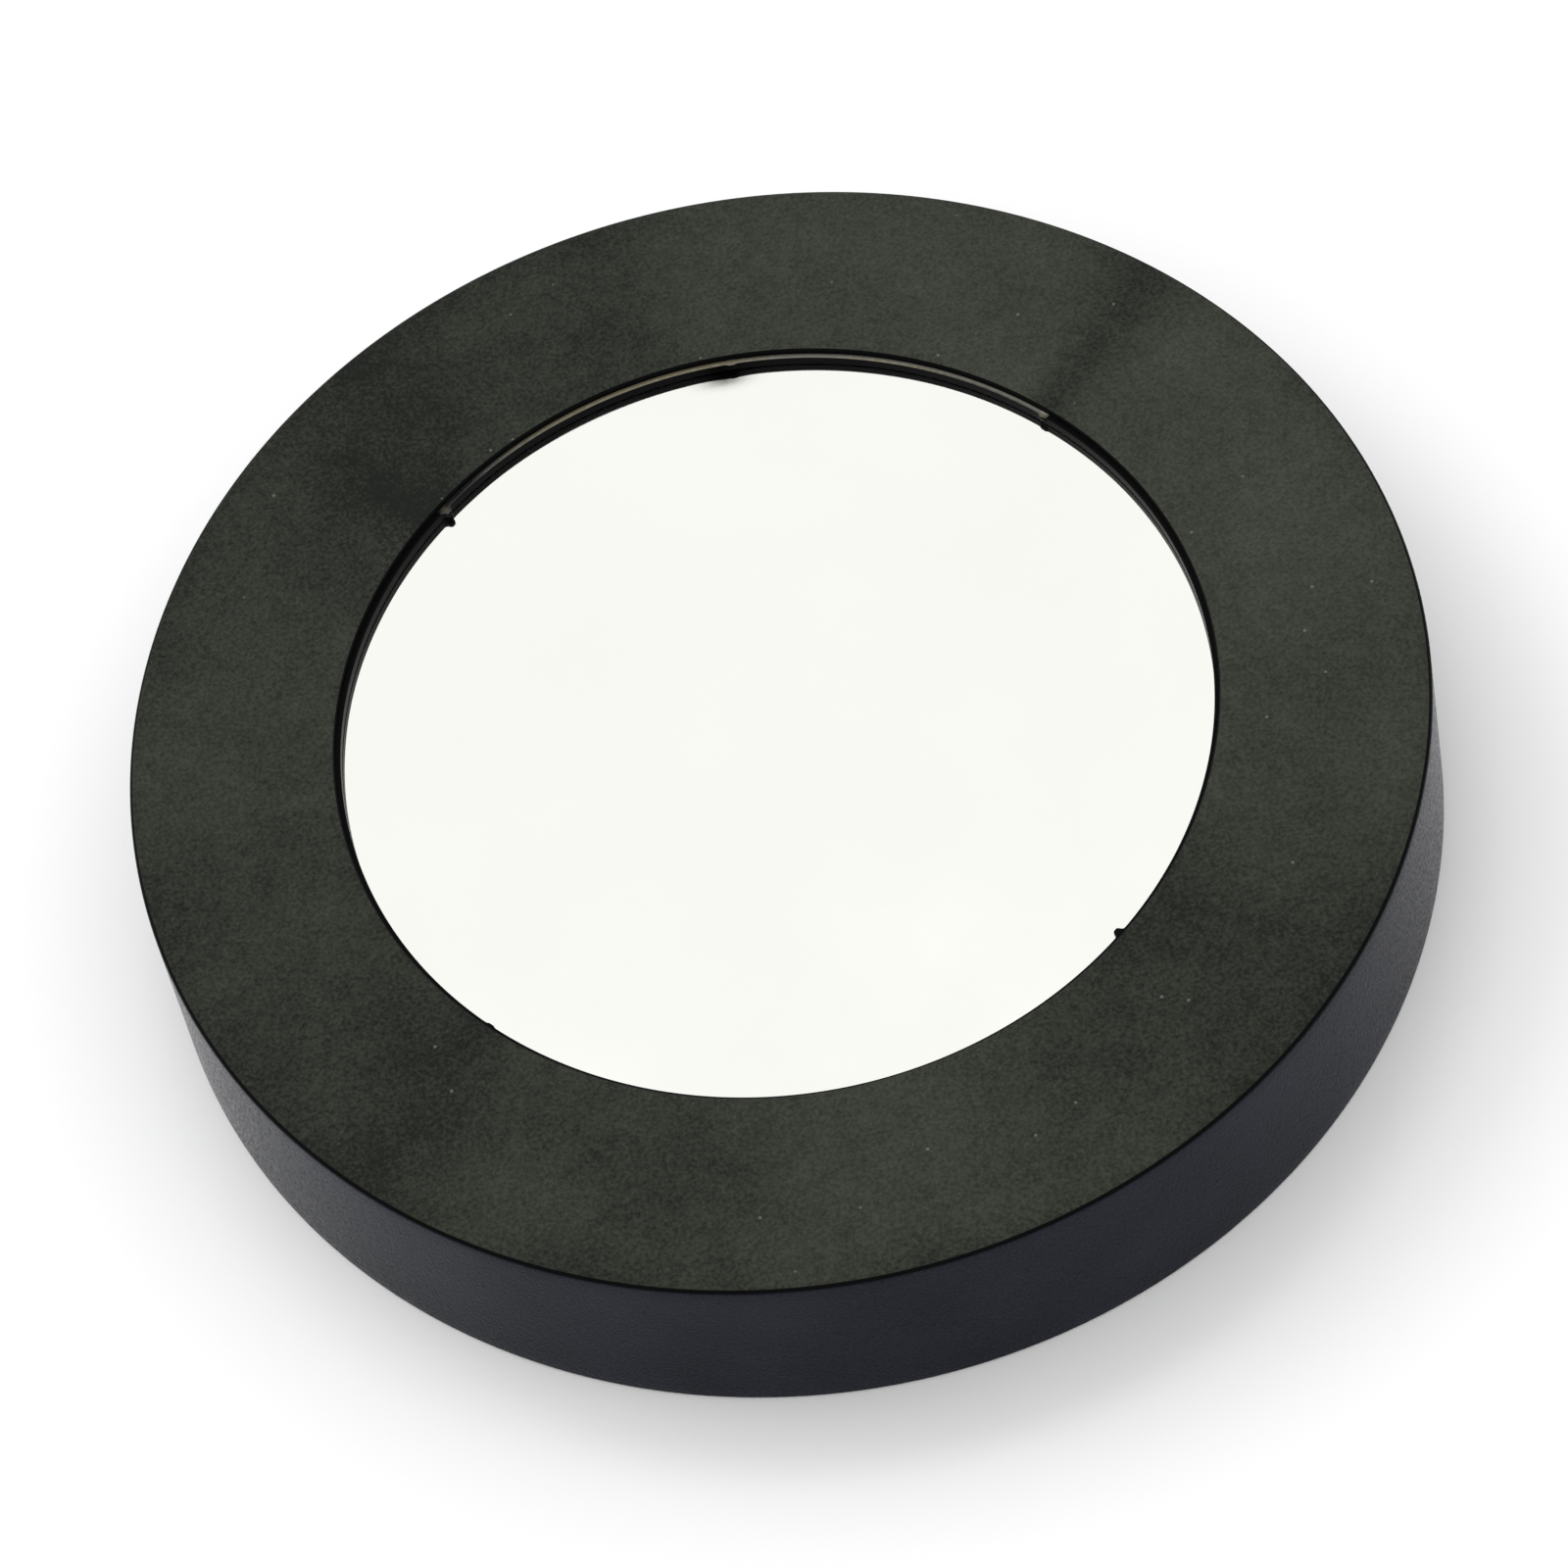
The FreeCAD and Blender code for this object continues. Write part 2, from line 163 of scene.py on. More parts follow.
def linearColour(hexCode, alpha=1.0):
    # sRGB hex to linear: c / 12.92 below 0.04045, else ((c + 0.055) / 1.055) ^ 2.4
    channels = [int(hexCode[k:k + 2], 16) / 255 for k in (1, 3, 5)]
    return (
        *(c / 12.92 if c <= 0.04045 else ((c + 0.055) / 1.055) ** 2.4 for c in channels),
        alpha,
    )


def addNode(tree, kind, settings, links=None):
    # a node with its settings by attribute or input, and its input links
    node = tree.nodes.new(kind)
    for key, value in settings.items():
        if isinstance(key, str) and hasattr(node, key):
            setattr(node, key, value)
        else:
            node.inputs[key].default_value = value
    for key, socket in (links or {}).items():
        tree.links.new(socket, node.inputs[key])
    return node


def newMaterial(name, settings):
    # a Principled surface with its plain values, and Object coordinates to build its pattern on
    material = bpy.data.materials.new(name)
    material.use_nodes = True
    tree = material.node_tree
    shader = next(node for node in tree.nodes if node.type == "BSDF_PRINCIPLED")
    for key, value in settings.items():
        shader.inputs[key].default_value = value
    place = addNode(tree, "ShaderNodeTexCoord", {}).outputs["Object"]
    return material, tree, shader, place


def noise(tree, place, size, detail, **more):
    # clouds of a size in mm, with values round 0.5, mostly between 0.3 and 0.7
    settings = {"Scale": 1 / (size * mm), "Detail": detail, **more}
    return addNode(tree, "ShaderNodeTexNoise", settings, {"Vector": place}).outputs["Fac"]


def spread(tree, value, low, high, start=0.3, end=0.7, clamp=True):
    # carries the values from start to end onto those from low to high
    settings = {"From Min": start, "From Max": end, "To Min": low, "To Max": high, "clamp": clamp}
    return addNode(tree, "ShaderNodeMapRange", settings, {"Value": value}).outputs["Result"]


def plus(tree, first, second, clamp=False):
    settings = {"operation": "ADD", "use_clamp": clamp}
    return addNode(tree, "ShaderNodeMath", settings, {0: first, 1: second}).outputs[0]


def blend(tree, share, first, second):
    # from the first colour to the second as share goes from 0 to 1; each is a linear colour or a socket
    settings, links = {"data_type": "RGBA"}, {0: share}
    for socket, colour in ((6, first), (7, second)):
        (settings if isinstance(colour, tuple) else links)[socket] = colour
    return addNode(tree, "ShaderNodeMix", settings, links).outputs[2]


def attribute(tree, name):
    return addNode(tree, "ShaderNodeAttribute", {"attribute_name": name}).outputs["Fac"]


def connect(tree, shader, sockets):
    for key, socket in sockets.items():
        tree.links.new(socket, shader.inputs[key])


def bump(tree, height, strength, depth):
    # relief of a depth in mm
    settings = {"Strength": strength, "Distance": depth * mm}
    return addNode(tree, "ShaderNodeBump", settings, {"Height": height}).outputs["Normal"]


def absSparkEroded():
    # ABS moulded against a spark-eroded steel face: a dull, pebbled black that scatters light, greyer where
    # the melt reached the steel last, and darker along the flow from each gate. One side is painted paler, a
    # painted sheen for the glint of the light behind the cap.
    look = {
        "dark": "#161814",
        "pale": "#3D4037",
        "dust": "#9A9C92",
        "grain": 0.27,  # mm across a pebble
        "pebble": 0.34,  # how much paler a high pebble is
        "patch": 1.6,  # mm across a patch of coarser or finer pebbles
        "patched": 0.1,  # how much paler or darker a patch is
        "cloud": 11.0,  # mm across a cloud in the gloss
        "clouded": 0.14,  # how much paler or darker a cloud is
        "speck": 3.2,  # mm between dust specks
        "speckSize": 0.026,  # share of that distance
        "speckFade": 1.8,  # how many times larger a speck is where it has faded out
        "dusty": 0.25,  # how much a speck covers
    }
    material, tree, shader, place = newMaterial(
        "absSparkEroded", {"Roughness": 0.6, "IOR": 1.53, "Specular IOR Level": 0.08}
    )
    grain = noise(tree, place, look["grain"], 3.0, Roughness=0.65)
    patch = noise(tree, place, look["patch"], 3.0, Roughness=0.7)
    cloud = noise(tree, place, look["cloud"], 4.0, Roughness=0.6)
    pebble = spread(tree, grain, -look["pebble"], look["pebble"], clamp=False)
    patched = spread(tree, patch, -look["patched"], look["patched"])
    clouded = spread(tree, cloud, -look["clouded"], look["clouded"])
    level = plus(tree, plus(tree, pebble, clouded), patched)
    # flow marks, and a painted sheen that makes one side paler
    level = plus(tree, level, attribute(tree, "flowAndPaintedSheen"), clamp=True)
    colour = blend(tree, level, linearColour(look["dark"]), linearColour(look["pale"]))
    cells = addNode(
        tree, "ShaderNodeTexVoronoi", {"Scale": 1 / (look["speck"] * mm)}, {"Vector": place}
    ).outputs["Distance"]
    size = look["speckSize"]
    speck = spread(tree, cells, look["dusty"], 0.0, size, size * look["speckFade"])
    dusted = blend(tree, speck, colour, linearColour(look["dust"]))
    connect(tree, shader, {"Base Color": dusted, "Normal": bump(tree, grain, 0.6, 0.03)})
    return material


def absSatinSkirt():
    # ABS drawn off a lightly blasted cavity wall: a smooth bluish satin that only shines at a glancing angle,
    # where its fine grain shows as a silvery unevenness.
    look = {
        "dark": "#12141A",
        "pale": "#21232D",
        "grain": 0.24,  # mm across a pit
        "cloud": 9.0,  # mm across a cloud in the gloss
        "grainShare": 1.4,  # how much more than a cloud the grain changes the tone
    }
    material, tree, shader, place = newMaterial(
        "absSatinSkirt", {"IOR": 1.53, "Specular IOR Level": 0.028}
    )
    grain = noise(tree, place, look["grain"], 2.0)
    cloud = noise(tree, place, look["cloud"], 3.0)
    mixed = addNode(
        tree, "ShaderNodeMath", {"operation": "MULTIPLY_ADD", 1: look["grainShare"]}, {0: grain, 2: cloud}
    ).outputs[0]
    level = spread(tree, mixed, 0.0, 1.0, 0.75, 1.65)
    connect(tree, shader, {
        "Base Color": blend(tree, level, linearColour(look["dark"]), linearColour(look["pale"])),
        "Roughness": spread(tree, grain, 0.08, 0.36, 0.35, 0.65),
        "Normal": bump(tree, grain, 0.8, 0.055),
    })
    return material


def absPlain(name, hexCode, roughness, specular, grainSize, grainDepth):
    # ABS with an even finish: near-black, barely shining edges and lands that are painted shade, or the
    # duller inside of the moulding.
    # Its grain takes the colour up to half as bright again, and the roughness 15 % either way.
    material, tree, shader, place = newMaterial(name, {"IOR": 1.53, "Specular IOR Level": specular})
    grain = noise(tree, place, grainSize, 3.0)
    base = linearColour(hexCode)
    lifted = tuple(1.5 * c for c in base[:3]) + (1.0,)
    connect(tree, shader, {
        "Base Color": blend(tree, grain, base, lifted),
        "Roughness": spread(tree, grain, roughness * 0.85, roughness * 1.15),
        "Normal": bump(tree, grain, 0.5, grainDepth),
    })
    return material


def absPaintedLedgeHighlight():
    # ABS along the trimmed ledge: a narrow glossy cut whose thin bright line is partly its real reflection of
    # the ledge strip lamp and partly a painted highlight in a brown and a grey band, with painted glints at
    # two stubs.
    stops = [(0.0, "#0C0C0B"), (0.4, "#675F42"), (0.8, "#56554D"), (1.0, "#8A8983")]
    material, tree, shader, place = newMaterial(
        "absPaintedLedgeHighlight", {"IOR": 1.53, "Specular IOR Level": 0.35}
    )
    drag = noise(tree, place, 0.35, 4.0)
    ramp = addNode(tree, "ShaderNodeValToRGB", {}, {"Fac": attribute(tree, "paintedHighlight")})
    for position, _ in stops[1:3]:
        ramp.color_ramp.elements.new(position)
    for element, (position, code) in zip(ramp.color_ramp.elements, stops):
        element.position = position
        element.color = linearColour(code)
    colour = addNode(
        tree, "ShaderNodeMix", {"data_type": "RGBA", 0: 0.35, "blend_type": "MULTIPLY"},
        {6: ramp.outputs["Color"], 7: drag},
    ).outputs[2]
    connect(tree, shader, {
        "Base Color": colour,
        "Roughness": spread(tree, drag, 0.2, 0.4),
        "Normal": bump(tree, drag, 0.5, 0.006),
    })
    return material


def metallisedFilm():
    # Polymer film with aluminium sputtered on both sides: a slightly warm mirror, a little hazy in patches
    # where the metal is thinner, and painted dark in one small patch, a painted reflection of the flash stub.
    material, tree, shader, place = newMaterial("metallisedFilm", {"Metallic": 1.0})
    haze = noise(tree, place, 16.0, 5.0, Roughness=0.6)
    metal = blend(tree, haze, linearColour("#F6F7F1"), linearColour("#FAFBF5"))
    connect(tree, shader, {
        # dark greenish where the painted reflection of the flash stub lies
        "Base Color": blend(tree, attribute(tree, "paintedDarkReflection"), metal, linearColour("#3C4236")),
        "Roughness": spread(tree, haze, 0.03, 0.08),
    })
    return material


def tissueTape():
    # Double-sided tape on a tissue carrier: off-white, matt, with the carrier's fibres showing.
    material, tree, shader, place = newMaterial("tissueTape", {"Roughness": 0.6, "IOR": 1.47})
    fibres = noise(tree, place, 0.4, 6.0, Distortion=2.5)
    connect(tree, shader, {
        "Base Color": blend(tree, fibres, linearColour("#C9C3B2"), linearColour("#E9E5DA")),
        "Normal": bump(tree, fibres, 0.5, 0.01),
    })
    return material


def needledFelt():
    # Black polyester felt, needled: matted fibres with no gloss, a soft pale sheen at the edge of sight.
    material, tree, shader, place = newMaterial(
        "needledFelt",
        {"Roughness": 0.95, "Specular IOR Level": 0.1, "Sheen Weight": 0.35, "Sheen Roughness": 0.5},
    )
    matted = noise(tree, place, 0.5, 8.0, Roughness=0.7, Distortion=1.5)
    connect(tree, shader, {
        "Base Color": blend(tree, matted, linearColour("#0C0C0E"), linearColour("#38383D")),
        "Normal": bump(tree, matted, 0.9, 0.15),
    })
    return material


def blackZinc():
    # Steel with black zinc plating: a dark metal with a soft shine, mottled by the passivation.
    material, tree, shader, place = newMaterial("blackZinc", {"Metallic": 1.0})
    mottle = noise(tree, place, 0.6, 5.0)
    connect(tree, shader, {
        "Base Color": blend(tree, mottle, linearColour("#3A3B3E"), linearColour("#5A5B60")),
        "Roughness": spread(tree, mottle, 0.24, 0.42),
    })
    return material


# ---- the cap

capSpec = {
    "rimRadius": 47.4, "frontRadius": 47.0, "wall": 2.0, "flange": 2.2, "web": 1.3,
    "frontRound": 0.45, "rimRound": 0.3, "rimBevel": 0.5, "holeRound": 0.15,
    "hole": 31.95, "land": 31.58, "step": 0.55, "seat": 36.5,
    "stubHeight": 0.5, "stubHalf": 0.3, "stubFade": 0.12,
    "stubs": [  # azimuth, length; the last is a bump of flash
        (40, 0.12), (130, 0.48), (-50.8, 0.45), (-140, 0.1), (85, 0.1),
    ],
    "trimmed": (39.4, 127.0, 131.0),  # azimuths where the trimmed slope starts and ends, and where its painted highlight ends
    "trimDrop": 0.055, "trimFade": (0.02, 0.12),  # mm, and radians over which it starts and ends
    "columns": 384, "stepLength": 1.3, "landStep": 0.08,
    "fineReach": 1.6, "fineColumns": 31,  # degrees either side of a stub, and columns in that stretch
    "fineGap": 0.08,  # degrees from a fine column within which an even one is left out
}
flowAndSheenSpec = {
    # the swing toward the paler side is a painted sheen, for the glint of the light behind the cap
    "paleness": 0.49, "paintedSheen": 0.16, "paintedSheenSide": 30,
    "edgeDark": 0.1, "edgeFade": (0.82, 0.98),  # how much darker the edge is, and shares of the way out to it
    # azimuth, depth, widths in mm at the hole and at the edge, share left at the edge, lean in degrees
    "marks": [
        (40, -0.4, 1.6, 3.6, 0.8, 1.0),
        (130, -0.34, 7.0, 12.0, 0.7, -6.0),
        (132, -0.25, 2.0, 4.0, 0.0, 0.0),
        (-46, -0.3, 8.0, 12.0, 0.8, 0.0),
        (-140, -0.28, 2.6, 6.0, 0.8, 0.0),
        (-92, 0.24, 7.0, 11.0, 0.6, 0.0),
        (98, -0.29, 7.0, 9.0, 0.9, 0.0),
        (176, 0.08, 4.0, 9.0, 1.6, 0.0),
        (-126, 0.03, 4.0, 9.0, 4.0, 0.0),
        (166, 0.05, 3.0, 6.0, 2.4, 0.0),
        (-165, 0.03, 4.0, 6.0, 4.0, 0.0),
    ],
}
# the painted highlight along the ledge: where its brown and grey bands die out, and its painted glints
paintedHighlightSpec = {
    "brown": (105, 126), "grey": (72, 92), "narrow": (48, 80),  # azimuths over which each dies out
    "narrowEdge": (-0.06, 0.04),  # mm from the middle of the ledge, over which the narrow painted line begins
    "share": 0.4,  # how far up the ramp brown is, and grey above brown
    "paintedGlints": [(40.2, 0.5, 0.3), (130.1, 0.45, 0.12)],  # azimuth, width in degrees, brightness of a painted glint
}
zoneSpec = {  # which faces take which material, in mm, and in upward parts of a normal
    "skirtDepth": 0.6, "rimHeight": 0.35, "rimDepth": 0.5, "holeEdge": 0.2,
    "edgeUp": 0.4, "frontUp": 0.9, "frontDepth": 0.06,
    "ledgeUp": 0.8, "ledgeDepth": 0.12, "ledgeWidth": 0.4,
}


def flowMarksAndPaintedSheen(r, azimuth):
    # How pale the front is, 0 to 1: a middle value, plus a swing x cos(azimuth - paler side), a painted sheen
    # that makes the side toward the light behind the cap paler, plus Gaussian marks depth x exp(-(sideways
    # distance / width)^2), each widening from the hole to the edge as the melt spreads out.
    spec = flowAndSheenSpec
    along = np.clip((r - capSpec["hole"]) / (capSpec["frontRadius"] - capSpec["hole"]), 0, 1)
    level = spec["paleness"] + spec["paintedSheen"] * np.cos(angleFrom(azimuth, spec["paintedSheenSide"]))
    for degrees, depth, near, far, left, lean in spec["marks"]:
        sideways = r * angleFrom(azimuth - np.radians(lean) * along, degrees)
        width = near + (far - near) * along
        level = level + depth * (1 - (1 - left) * along) * np.exp(-((sideways / width) ** 2))
    return level - spec["edgeDark"] * smoothStep(*spec["edgeFade"], along)


def capOutline(spec, ledge, seat):
    # half of the cap's section, going up the outside, over the front, down the hole and back along the inside
    rear = frontZ - spec["flange"]
    draft = (spec["rimRadius"] - spec["frontRadius"]) / frontZ
    inner = spec["rimRadius"] - spec["wall"]
    corners = [
        (inner + spec["rimBevel"], 0, 0.1), (spec["rimRadius"], 0, spec["rimRound"]),
        (spec["frontRadius"], frontZ, spec["frontRound"]), (spec["hole"], frontZ, spec["holeRound"]),
        (spec["hole"], ledge, 0.05), (spec["land"], ledge, 0.05), (spec["land"], seat, 0.03),
        (spec["seat"], seat, 0.03), (spec["seat"], rear, 0.1), (inner - draft * rear, rear, 0.4),
        (inner - draft * spec["rimBevel"], spec["rimBevel"], 0.08),
    ]
    outline = roundedOutline(corners, spec["stepLength"])
    finer = []  # rows close together on the ledge and the land, where the stubs stand
    for before, after in zip(outline, np.roll(outline, -1, axis=0)):
        finer.append(before[None])
        onLand = max(before[0], after[0]) < spec["hole"] + hair and min(before[1], after[1]) >= seat - hair
        steps = math.ceil(np.linalg.norm(after - before) / spec["landStep"]) if onLand else 1
        finer.append(before + np.outer(np.arange(1, steps) / steps, after - before))
    return np.vstack(finer)


def capAzimuths(spec):
    # even columns, with finer ones in their place round each stub
    even = np.linspace(-180, 180, spec["columns"], endpoint=False)
    window = np.linspace(-spec["fineReach"], spec["fineReach"], spec["fineColumns"])
    fine = np.concatenate([degrees + window for degrees, _ in spec["stubs"]])
    fine = (fine + 180) % 360 - 180
    near = np.abs(even[:, None] - fine[None, :]).min(axis=1) < spec["fineGap"]
    return np.radians(np.unique(np.round(np.concatenate([even[~near], fine]), 4)))


def capShell(materials):
    # The skirt and flange are one outline turned round the axis. Where a gate was trimmed, the land below the
    # step moves inward by length / (1 + (distance / half width)^6), so that it ends in a blunt stub.
    spec = capSpec
    ledge = frontZ - spec["step"]
    seat = frontZ - spec["web"]
    outline = capOutline(spec, ledge, seat)
    azimuths = capAzimuths(spec)
    r = outline[:, 0][:, None] + 0 * azimuths[None, :]
    z = outline[:, 1][:, None] + 0 * azimuths[None, :]
    a = azimuths[None, :] + 0 * z
    inHole = (r < spec["hole"] + hair) & (z > seat - hair)
    width = spec["hole"] - spec["land"]
    onLedge = np.clip((spec["hole"] - r) / width, 0, 1) * (z <= ledge + hair)
    low, high = (math.radians(value) for value in spec["trimmed"][:2])
    fadeIn, fadeOut = spec["trimFade"]
    trimmed = smoothStep(low, low + fadeIn, a) * (1 - smoothStep(high - fadeOut, high, a))
    drop = spec["trimDrop"] * trimmed * onLedge * smoothStep(seat, ledge, z)
    stub = np.zeros_like(a)
    for degrees, length in spec["stubs"]:
        sideways = spec["land"] * angleFrom(a, degrees)
        stub += length / (1 + (sideways / spec["stubHalf"]) ** 6)
    foot = ledge - spec["stubHeight"]
    height = smoothStep(foot - spec["stubFade"], foot + spec["stubFade"], z)
    moved = r - stub * onLedge * height * inHole
    grid = np.stack([moved * np.cos(a), moved * np.sin(a), z - drop * inHole], axis=-1)
    mesh = gridSurface("capShell", grid, closeRows=True)
    # the flow marks with their painted sheen, and the painted ledge highlight
    for name, values in (("flowAndPaintedSheen", flowMarksAndPaintedSheen(r, a)), ("paintedHighlight", paintedLedgeHighlightLevel(r, a))):
        layer = mesh.attributes.new(name, "FLOAT", "POINT")
        layer.data.foreach_set("value", values.astype(np.float32).ravel())
    for material in materials:
        mesh.materials.append(material)
    mesh.polygons.foreach_set("material_index", capZones(mesh, ledge, seat))
    return mesh


def paintedLedgeHighlightLevel(r, azimuth):
    # How bright the painted highlight along the ledge is: 0 where it is dark, 0.4 where brown, 0.8 where
    # grey, and up to 1 at a painted glint. The painted line narrows to the outer side of the ledge as it
    # comes out.
    spec = paintedHighlightSpec
    degrees = np.degrees(azimuth)
    brown = spec["share"] * (1 - smoothStep(*spec["brown"], degrees))
    grey = spec["share"] * (1 - smoothStep(*spec["grey"], degrees))
    paintedGlints = sum(bright * np.exp(-(((degrees - at) / width) ** 2)) for at, width, bright in spec["paintedGlints"])
    narrow = 1 - smoothStep(*spec["narrow"], degrees)
    middle = (capSpec["hole"] + capSpec["land"]) / 2
    low, high = (middle + offset for offset in spec["narrowEdge"])
    cut = 1 - narrow * (1 - smoothStep(low, high, r))
    return np.clip((brown + grey) * cut + paintedGlints, 0, 1)


def capZones(mesh, ledge, seat):
    # each face's material by number, in the order in which capShell is given them
    front, skirt, paintedShadeZone, paintedHighlightZone, inside = range(5)
    cap, spec = capSpec, zoneSpec
    count = len(mesh.polygons)
    centres, normals = np.empty(count * 3), np.empty(count * 3)
    mesh.polygons.foreach_get("center", centres)
    mesh.polygons.foreach_get("normal", normals)
    x, y, z = centres.reshape(-1, 3).T / mm
    up = normals.reshape(-1, 3)[:, 2]
    r, azimuth = np.hypot(x, y), np.degrees(np.arctan2(y, x))
    zone = np.full(count, inside, np.int32)
    zone[(r > cap["frontRadius"] - spec["skirtDepth"]) & (z > spec["rimHeight"])] = skirt
    # painted shade: the front round, the foot of the rim and the hole's wall take the near-black edge plastic
    zone[(r > cap["frontRadius"] - cap["frontRound"]) & (up > spec["edgeUp"])] = paintedShadeZone
    zone[(r > cap["frontRadius"] - spec["rimDepth"]) & (z < spec["rimHeight"])] = paintedShadeZone
    zone[(r < cap["hole"] + spec["holeEdge"]) & (z > seat - hair)] = paintedShadeZone
    zone[(up > spec["frontUp"]) & (z > frontZ - spec["frontDepth"])] = front
    # the trimmed ledge faces take the painted highlight
    low, _, high = cap["trimmed"]
    trimmed = (azimuth > low) & (azimuth < high) & (up > spec["ledgeUp"])
    trimmed &= (r < cap["hole"]) & (r > cap["land"] - spec["ledgeWidth"])
    zone[trimmed & (np.abs(z - ledge) < spec["ledgeDepth"])] = paintedHighlightZone
    return zone


bossSpec = {
    "circle": 39.1, "radius": 1.75, "hole": 1.0, "length": 1.6, "count": 6,
    "sunk": 0.3,  # how far its end is buried in the flange
    "columns": 48, "drillColumns": 64,
    "holeTurn": 0.023,  # radians by which the ring's drills are turned
}
ribSpec = {
    "count": 12, "inner": 42.2, "width": 1.2, "drop": 5.8, "power": 8,
    "sunk": 0.3, "rooted": 0.25,  # how far it is buried in the flange and in the skirt
    "rows": 21, "columns": 40,
}


def capBosses():
    # Six tubes, each its own small outline turned round its screw's axis.
    spec = bossSpec
    top = frontZ - capSpec["flange"]
    low = top - spec["length"]
    buried = top + spec["sunk"]
    outline = roundedOutline(
        [(spec["hole"], low, 0.12), (spec["radius"], low, 0.15), (spec["radius"], buried, 0.02),
         (spec["hole"], buried, 0.02)], 0.5)
    turned = turnedGrid(outline, np.linspace(0, 2 * math.pi, spec["columns"], endpoint=False))
    meshes = []
    for k in range(spec["count"]):
        angle = 2 * math.pi * k / spec["count"]
        place = np.array([math.cos(angle), math.sin(angle), 0]) * spec["circle"]
        meshes.append(gridSurface(f"boss{k + 1}", turned + place, closeRows=True))
    return meshes


def capRibs():
    # A stop rib is a rounded block: a superellipse |x/a|^n + |y/b|^n = 1 whose size follows
    # (1 - |t|^n)^(1/n) along the rib, n being the power.
    spec = ribSpec
    top = frontZ - capSpec["flange"] + spec["sunk"]
    low = frontZ - spec["drop"]
    outer = capSpec["rimRadius"] - capSpec["wall"] + spec["rooted"]
    power = spec["power"]
    t = np.sin(np.linspace(-0.499, 0.499, spec["rows"]) * math.pi)[:, None]
    size = (1 - np.abs(t) ** power) ** (1 / power)
    u = np.linspace(0, 2 * math.pi, spec["columns"], endpoint=False)[None, :]
    across = np.sign(np.cos(u)) * np.abs(np.cos(u)) ** (2 / power) * spec["width"] / 2 * size
    upright = np.sign(np.sin(u)) * np.abs(np.sin(u)) ** (2 / power) * (top - low) / 2 * size
    radial = (outer + spec["inner"]) / 2 + t * (outer - spec["inner"]) / 2 + 0 * u
    meshes = []
    for k in range(spec["count"]):
        angle = 2 * math.pi * (k + 0.5) / spec["count"]
        grid = np.stack(
            [
                radial * math.cos(angle) - across * math.sin(angle),
                radial * math.sin(angle) + across * math.cos(angle),
                (top + low) / 2 + upright,
            ],
            axis=-1,
        )
        meshes.append(gridSurface(f"rib{k + 1}", grid, capStart=True, capEnd=True))
    return meshes


def joinMeshes(name, first, others, materialIndex):
    # one mesh of several closed shells, the others all in one material of the first
    whole = bpy.data.objects.new(name, first)
    scene.collection.objects.link(whole)
    parts = []
    for mesh in others:
        for material in first.materials:
            mesh.materials.append(material)
        mesh.polygons.foreach_set("material_index", np.full(len(mesh.polygons), materialIndex, np.int32))
        part = bpy.data.objects.new(mesh.name, mesh)
        scene.collection.objects.link(part)
        parts.append(part)
    with bpy.context.temp_override(
        active_object=whole, object=whole, selected_objects=[whole] + parts,
        selected_editable_objects=[whole] + parts,
    ):
        bpy.ops.object.join()
    mesh = whole.data
    bpy.data.objects.remove(whole)
    return mesh


eroded = absSparkEroded()
satin = absSatinSkirt()
# near-black and barely shining: painted shade for the front round, the foot of the rim and the hole's wall
paintedShadeEdge = absPlain("absPaintedShadeEdge", "#070708", 0.3, 0.02, 0.3, 0.004)
# the painted highlight along the ledge
paintedHighlight = absPaintedLedgeHighlight()
inside = absPlain("absMouldedInside", "#101113", 0.45, 0.35, 0.4, 0.01)
capPlastics = [eroded, satin, paintedShadeEdge, paintedHighlight, inside]
shell = joinMeshes("capShell", capShell(capPlastics), capBosses() + capRibs(), capPlastics.index(inside))
placePiece("capShell", shell, "cap_plastic", [], "cap_shell", sharp=50)
print("cap:", len(shell.polygons), "faces")


# ---- the film and its tape

filmSpec = {
    "radius": 36.2, "wave": 0.012, "rows": 90, "columns": 288,
    "clamped": (30.5, 32.0),  # radii between which the waves die out
    "waves": [(0.25, 0.11, 0.4), (-0.18, 0.31, 1.7), (0.43, -0.29, 2.9), (0.07, 0.62, 0.2)],
    "dent": (85.5, 31.4, 1.0, 0.03),  # azimuth, radius, reach, depth: a pinch beside the flash
    "darkSmudge": (86.3, 30.9, 1.6, 0.6, 0.9),  # azimuth, radius, reach round and inward, share painted dark
    "smudgeSlant": 0.25,  # mm round for each mm inward
}


